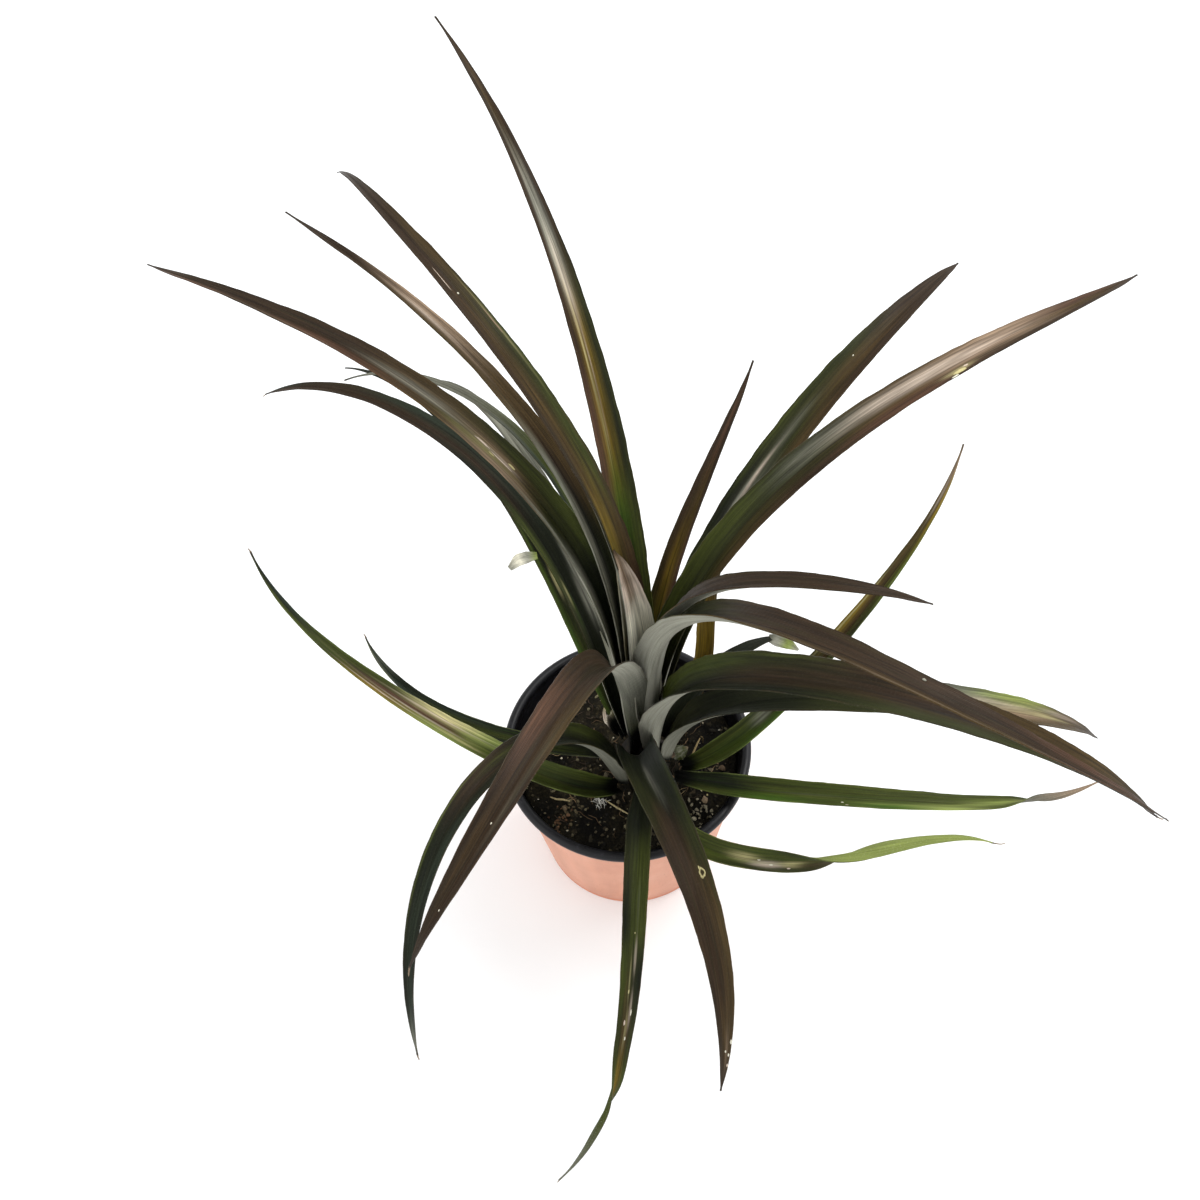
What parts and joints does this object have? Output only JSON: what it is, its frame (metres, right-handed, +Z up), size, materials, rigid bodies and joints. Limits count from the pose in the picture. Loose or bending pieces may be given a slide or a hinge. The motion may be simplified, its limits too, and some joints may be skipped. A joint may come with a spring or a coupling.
{
  "type": "potted pineapple plant",
  "caption": "Young pineapple plant with long, channelled, arching bronze-green leaves in a small round nursery pot filled with peat.",
  "frame": {"origin": "centre of the pot's underside, on the surface it stands on", "axes": "+Z up, +X to the right of the viewer, +Y away from the viewer"},
  "size_m": [0.4185, 0.3466, 0.3869],
  "materials": {
    "terracotta": "satin, terracotta outside and black inside",
    "peat": "matt, crumbly",
    "stem": "matt",
    "leaf_heart": "soft waxy gloss above, powdery grey below",
    "leaf_upright": "soft waxy gloss above, powdery grey below",
    "leaf_tallest": "soft waxy gloss above, powdery grey below",
    "leaf_right_1": "soft waxy gloss above, powdery grey below",
    "leaf_upper_right_1": "soft waxy gloss above, powdery grey below",
    "leaf_upper_left_1": "soft waxy gloss above, powdery grey below",
    "leaf_upper_left_2": "soft waxy gloss above, powdery grey below",
    "leaf_upper_right_2": "soft waxy gloss above, powdery grey below",
    "leaf_right_2": "soft waxy gloss above, powdery grey below",
    "leaf_upper_left_5": "soft waxy gloss above, powdery grey below",
    "leaf_upper_left_3": "soft waxy gloss above, powdery grey below",
    "leaf_upper_left_7": "soft waxy gloss above, powdery grey below",
    "leaf_upper_left_4": "soft waxy gloss above, powdery grey below",
    "leaf_folded_left": "soft waxy gloss above, powdery grey below",
    "leaf_right_3": "soft waxy gloss above, powdery grey below",
    "leaf_right_short": "soft waxy gloss above, powdery grey below",
    "leaf_upper_right_3": "soft waxy gloss above, powdery grey below",
    "leaf_front": "soft waxy gloss above, powdery grey below",
    "leaf_upper_left_6": "soft waxy gloss above, powdery grey below",
    "leaf_right_4": "soft waxy gloss above, powdery grey below",
    "leaf_low_left_small": "soft waxy gloss above, powdery grey below",
    "leaf_right_slender": "soft waxy gloss above, powdery grey below",
    "leaf_hanging_left": "soft waxy gloss above, powdery grey below",
    "leaf_low_front": "soft waxy gloss above, powdery grey below",
    "leaf_low_front_right": "soft waxy gloss above, powdery grey below",
    "leaf_low_left": "soft waxy gloss above, powdery grey below",
    "leaf_low_right": "soft waxy gloss above, powdery grey below",
    "stub_left": "dry, matt",
    "stub_right": "dry, matt",
    "bud": "matt"
  },
  "bodies": {
    "root": {"pot": "terracotta", "soil": "peat", "stem": "stem", "leaf_heart": "leaf_heart", "leaf_upright": "leaf_upright", "leaf_tallest": "leaf_tallest", "leaf_right_1": "leaf_right_1", "leaf_upper_right_1": "leaf_upper_right_1", "leaf_upper_left_1": "leaf_upper_left_1", "leaf_upper_left_2": "leaf_upper_left_2", "leaf_upper_right_2": "leaf_upper_right_2", "leaf_right_2": "leaf_right_2", "leaf_upper_left_5": "leaf_upper_left_5", "leaf_upper_left_3": "leaf_upper_left_3", "leaf_upper_left_7": "leaf_upper_left_7", "leaf_upper_left_4": "leaf_upper_left_4", "leaf_folded_left": "leaf_folded_left", "leaf_right_3": "leaf_right_3", "leaf_right_short": "leaf_right_short", "leaf_upper_right_3": "leaf_upper_right_3", "leaf_front": "leaf_front", "leaf_upper_left_6": "leaf_upper_left_6", "leaf_right_4": "leaf_right_4", "leaf_low_left_small": "leaf_low_left_small", "leaf_right_slender": "leaf_right_slender", "leaf_hanging_left": "leaf_hanging_left", "leaf_low_front": "leaf_low_front", "leaf_low_front_right": "leaf_low_front_right", "leaf_low_left": "leaf_low_left", "leaf_low_right": "leaf_low_right", "stub_left": "stub_left", "stub_right": "stub_right", "side_bud": "bud"}
  },
  "joints": []
}
